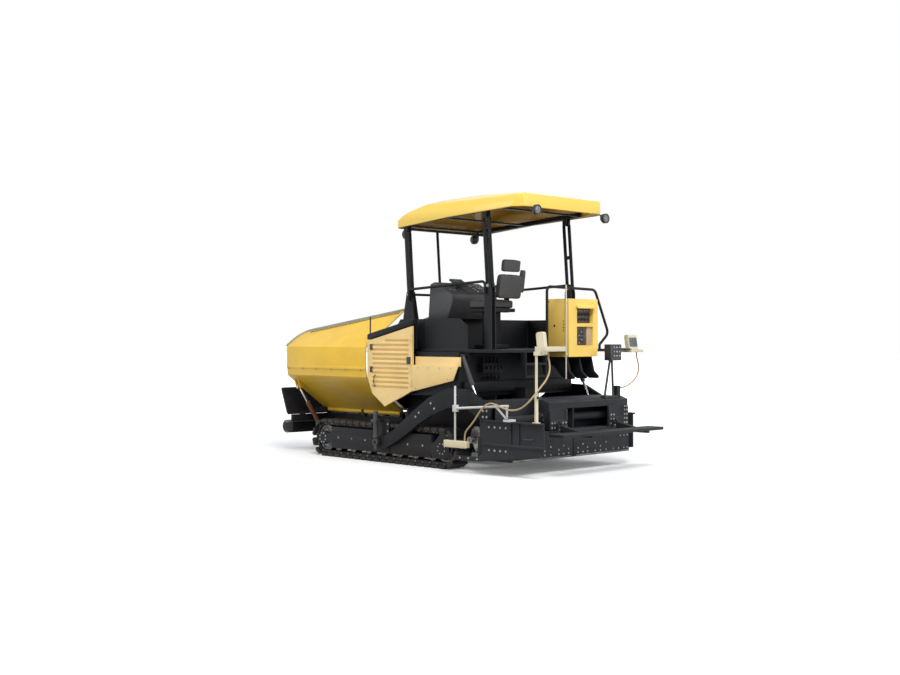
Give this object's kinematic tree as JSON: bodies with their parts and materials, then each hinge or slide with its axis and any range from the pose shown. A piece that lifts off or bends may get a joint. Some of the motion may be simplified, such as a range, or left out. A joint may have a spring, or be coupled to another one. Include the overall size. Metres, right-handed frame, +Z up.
{
  "type": "asphalt paver",
  "caption": "Tracked asphalt paver with a folding hopper, push rollers, louvred engine doors, operator's platform under a canopy, and an extending screed.",
  "frame": {"origin": "on the ground under the middle of the machine's length and width", "axes": "+X forward to the push rollers, +Y to the machine's left, +Z up"},
  "size_m": [6, 2.9356, 3.765],
  "materials": {
    "machine_yellow": "satin",
    "chassis_black": "satin",
    "screed_black": "matte, worn",
    "roof_grp": "satin gel coat",
    "track_steel": "worn",
    "roller_steel": "worn bright",
    "cylinder_paint": "satin",
    "rod_chrome": "polished",
    "rail_grey": "satin",
    "rubber_black": "matte",
    "seat_cover": "grained",
    "console_grey": "fine texture",
    "remote_beige": "satin",
    "sensor_cream": "satin",
    "rig_white": "matte",
    "cable_tan": "matte",
    "lamp_body": "fine texture",
    "engine_grey": "painted"
  },
  "bodies": {
    "chassis": {"track_left": "track_steel", "track_right": "track_steel", "running_gear": "roller_steel", "track_frames": "chassis_black", "main_frame": "chassis_black", "wing_supports": "chassis_black", "conveyor": "roller_steel", "body_housing": "chassis_black", "engine_block": "engine_grey", "side_strips": "machine_yellow", "hood_rails": "chassis_black", "platform": "chassis_black", "seat": "seat_cover", "seat_frame": "chassis_black", "operator_console": "console_grey", "control_cabinet": "machine_yellow", "handrails": "chassis_black", "tow_points": "chassis_black", "tow_cylinders": "rail_grey", "hydraulics": "chassis_black", "rear_crossbar": "chassis_black"},
    "wing_left": {"hopper_wing_left": "machine_yellow", "wing_lip_left": "rubber_black"},
    "wing_right": {"hopper_wing_right": "machine_yellow", "wing_lip_right": "rubber_black"},
    "wing_barrel_left": {"wing_barrel_left": "cylinder_paint"},
    "wing_barrel_right": {"wing_barrel_right": "cylinder_paint"},
    "wing_rod_left": {"wing_rod_left": "rod_chrome"},
    "wing_rod_right": {"wing_rod_right": "rod_chrome"},
    "apron": {"front_apron": "chassis_black"},
    "push_beam": {"push_beam": "chassis_black"},
    "push_roller_left": {"push_roller_left": "roller_steel"},
    "push_roller_right": {"push_roller_right": "roller_steel"},
    "door_left": {"service_door_left": "machine_yellow"},
    "door_right": {"service_door_right": "machine_yellow"},
    "hood": {"engine_hood": "chassis_black"},
    "auger_left": {"auger_left": "track_steel"},
    "auger_right": {"auger_right": "track_steel"},
    "screed": {"tow_arms": "chassis_black", "main_screed": "screed_black", "remote_right": "remote_beige", "cable_right": "cable_tan"},
    "footboard": {"footboard": "screed_black"},
    "extension_left": {"extension_left": "screed_black", "end_gate_left": "screed_black", "remote_left": "remote_beige", "sensor_rig": "rig_white", "levelling_sensor": "sensor_cream", "cable_left": "cable_tan"},
    "extension_right": {"extension_right": "screed_black", "end_gate_right": "screed_black"},
    "lift_barrel_left": {"lift_barrel_left": "cylinder_paint"},
    "lift_barrel_right": {"lift_barrel_right": "cylinder_paint"},
    "lift_rod_left": {"lift_rod_left": "rod_chrome"},
    "lift_rod_right": {"lift_rod_right": "rod_chrome"},
    "canopy_front": {"canopy_front_posts": "chassis_black"},
    "canopy": {"canopy_roof": "roof_grp", "canopy_frame": "chassis_black", "canopy_lamps": "lamp_body"},
    "canopy_rear": {"canopy_rear_posts": "chassis_black"}
  },
  "joints": [
    {"name": "wing_left_fold", "type": "hinge", "parent": "chassis", "child": "wing_left", "pos_m": [1.475, 0.48, 0.66], "axis": [-1, 0, 0], "range_deg": [0, 34]},
    {"name": "wing_barrel_left_swing", "type": "hinge", "parent": "chassis", "child": "wing_barrel_left", "pos_m": [2.3, 0.7, 0.42], "axis": [-1, 0, 0], "range_deg": [-2, 40]},
    {"name": "wing_rod_left_stroke", "type": "slide", "parent": "wing_barrel_left", "child": "wing_rod_left", "axis": [0, 0.5578, 0.83], "range_m": [-0.21, 0.01]},
    {"name": "wing_right_fold", "type": "hinge", "parent": "chassis", "child": "wing_right", "pos_m": [1.475, -0.48, 0.66], "axis": [1, 0, 0], "range_deg": [0, 34]},
    {"name": "wing_barrel_right_swing", "type": "hinge", "parent": "chassis", "child": "wing_barrel_right", "pos_m": [2.3, -0.7, 0.42], "axis": [1, 0, 0], "range_deg": [-2, 40]},
    {"name": "wing_rod_right_stroke", "type": "slide", "parent": "wing_barrel_right", "child": "wing_rod_right", "axis": [0, -0.5578, 0.83], "range_m": [-0.21, 0.01]},
    {"name": "apron_tilt", "type": "hinge", "parent": "chassis", "child": "apron", "pos_m": [2.48, 0, 0.56], "axis": [0, 1, 0], "range_deg": [0, 35]},
    {"name": "push_beam_swing", "type": "hinge", "parent": "chassis", "child": "push_beam", "pos_m": [2.56, 0, 0.37], "axis": [0, 0, 1], "range_deg": [-6, 6]},
    {"name": "push_roller_left_spin", "type": "hinge", "parent": "push_beam", "child": "push_roller_left", "pos_m": [2.895, 0.5, 0.37], "axis": [0, 1, 0], "continuous": true},
    {"name": "push_roller_right_spin", "type": "hinge", "parent": "push_beam", "child": "push_roller_right", "pos_m": [2.895, -0.5, 0.37], "axis": [0, 1, 0], "continuous": true},
    {"name": "door_left_swing", "type": "hinge", "parent": "chassis", "child": "door_left", "pos_m": [-0.478, 1.254, 1.4], "axis": [0, 0, 1], "range_deg": [0, 100]},
    {"name": "door_right_swing", "type": "hinge", "parent": "chassis", "child": "door_right", "pos_m": [-0.478, -1.254, 1.4], "axis": [0, 0, -1], "range_deg": [0, 100]},
    {"name": "hood_lift", "type": "hinge", "parent": "chassis", "child": "hood", "pos_m": [0.11, 0, 1.91], "axis": [0, -1, 0], "range_deg": [0, 60]},
    {"name": "auger_left_spin", "type": "hinge", "parent": "chassis", "child": "auger_left", "pos_m": [-1.515, 0.6, 0.43], "axis": [0, 1, 0], "continuous": true},
    {"name": "auger_right_spin", "type": "hinge", "parent": "chassis", "child": "auger_right", "pos_m": [-1.515, -0.6, 0.43], "axis": [0, 1, 0], "continuous": true},
    {"name": "screed_lift", "type": "hinge", "parent": "chassis", "child": "screed", "pos_m": [0.25, 0, 0.3], "axis": [0, 1, 0], "range_deg": [-4, 5]},
    {"name": "footboard_fold", "type": "hinge", "parent": "screed", "child": "footboard", "pos_m": [-2.41, 0, 0.61], "axis": [0, 1, 0], "range_deg": [0, 95]},
    {"name": "extension_left_stroke", "type": "slide", "parent": "screed", "child": "extension_left", "axis": [0, 1, 0], "range_m": [0, 1]},
    {"name": "extension_right_stroke", "type": "slide", "parent": "screed", "child": "extension_right", "axis": [0, -1, 0], "range_m": [0, 1]},
    {"name": "lift_barrel_left_swing", "type": "hinge", "parent": "chassis", "child": "lift_barrel_left", "pos_m": [-1.39, 1.145, 1.55], "axis": [0, 1, 0], "range_deg": [-3, 3]},
    {"name": "lift_rod_left_stroke", "type": "slide", "parent": "lift_barrel_left", "child": "lift_rod_left", "axis": [-0.4305, 0, -0.9026], "range_m": [-0.19, 0.16]},
    {"name": "lift_barrel_right_swing", "type": "hinge", "parent": "chassis", "child": "lift_barrel_right", "pos_m": [-1.39, -1.145, 1.55], "axis": [0, 1, 0], "range_deg": [-3, 3]},
    {"name": "lift_rod_right_stroke", "type": "slide", "parent": "lift_barrel_right", "child": "lift_rod_right", "axis": [-0.4305, 0, -0.9026], "range_m": [-0.19, 0.16]},
    {"name": "canopy_fold", "type": "hinge", "parent": "chassis", "child": "canopy_front", "pos_m": [0, 0, 2.42], "axis": [0, -1, 0], "range_deg": [0, 45]},
    {"name": "canopy_level", "type": "hinge", "parent": "canopy_front", "child": "canopy", "pos_m": [0.07, 0, 3.37], "axis": [0, -1, 0], "range_deg": [-45, 0]},
    {"name": "canopy_rear_fold", "type": "hinge", "parent": "chassis", "child": "canopy_rear", "pos_m": [-1.59, 0, 2.5], "axis": [0, -1, 0], "range_deg": [0, 45]}
  ],
  "couplings": [
    {"joint": "wing_barrel_left_swing", "follows": "wing_left_fold", "ratio": 0.9953},
    {"joint": "wing_rod_left_stroke", "follows": "wing_left_fold", "m_per_rad": -0.322},
    {"joint": "wing_barrel_right_swing", "follows": "wing_right_fold", "ratio": 0.9953},
    {"joint": "wing_rod_right_stroke", "follows": "wing_right_fold", "m_per_rad": -0.322},
    {"joint": "lift_barrel_left_swing", "follows": "screed_lift", "ratio": 0.4041},
    {"joint": "lift_rod_left_stroke", "follows": "screed_lift", "m_per_rad": -2.0202},
    {"joint": "lift_barrel_right_swing", "follows": "screed_lift", "ratio": 0.4041},
    {"joint": "lift_rod_right_stroke", "follows": "screed_lift", "m_per_rad": -2.0202},
    {"joint": "canopy_level", "follows": "canopy_fold", "ratio": -1},
    {"joint": "canopy_rear_fold", "follows": "canopy_fold", "ratio": 1}
  ]
}
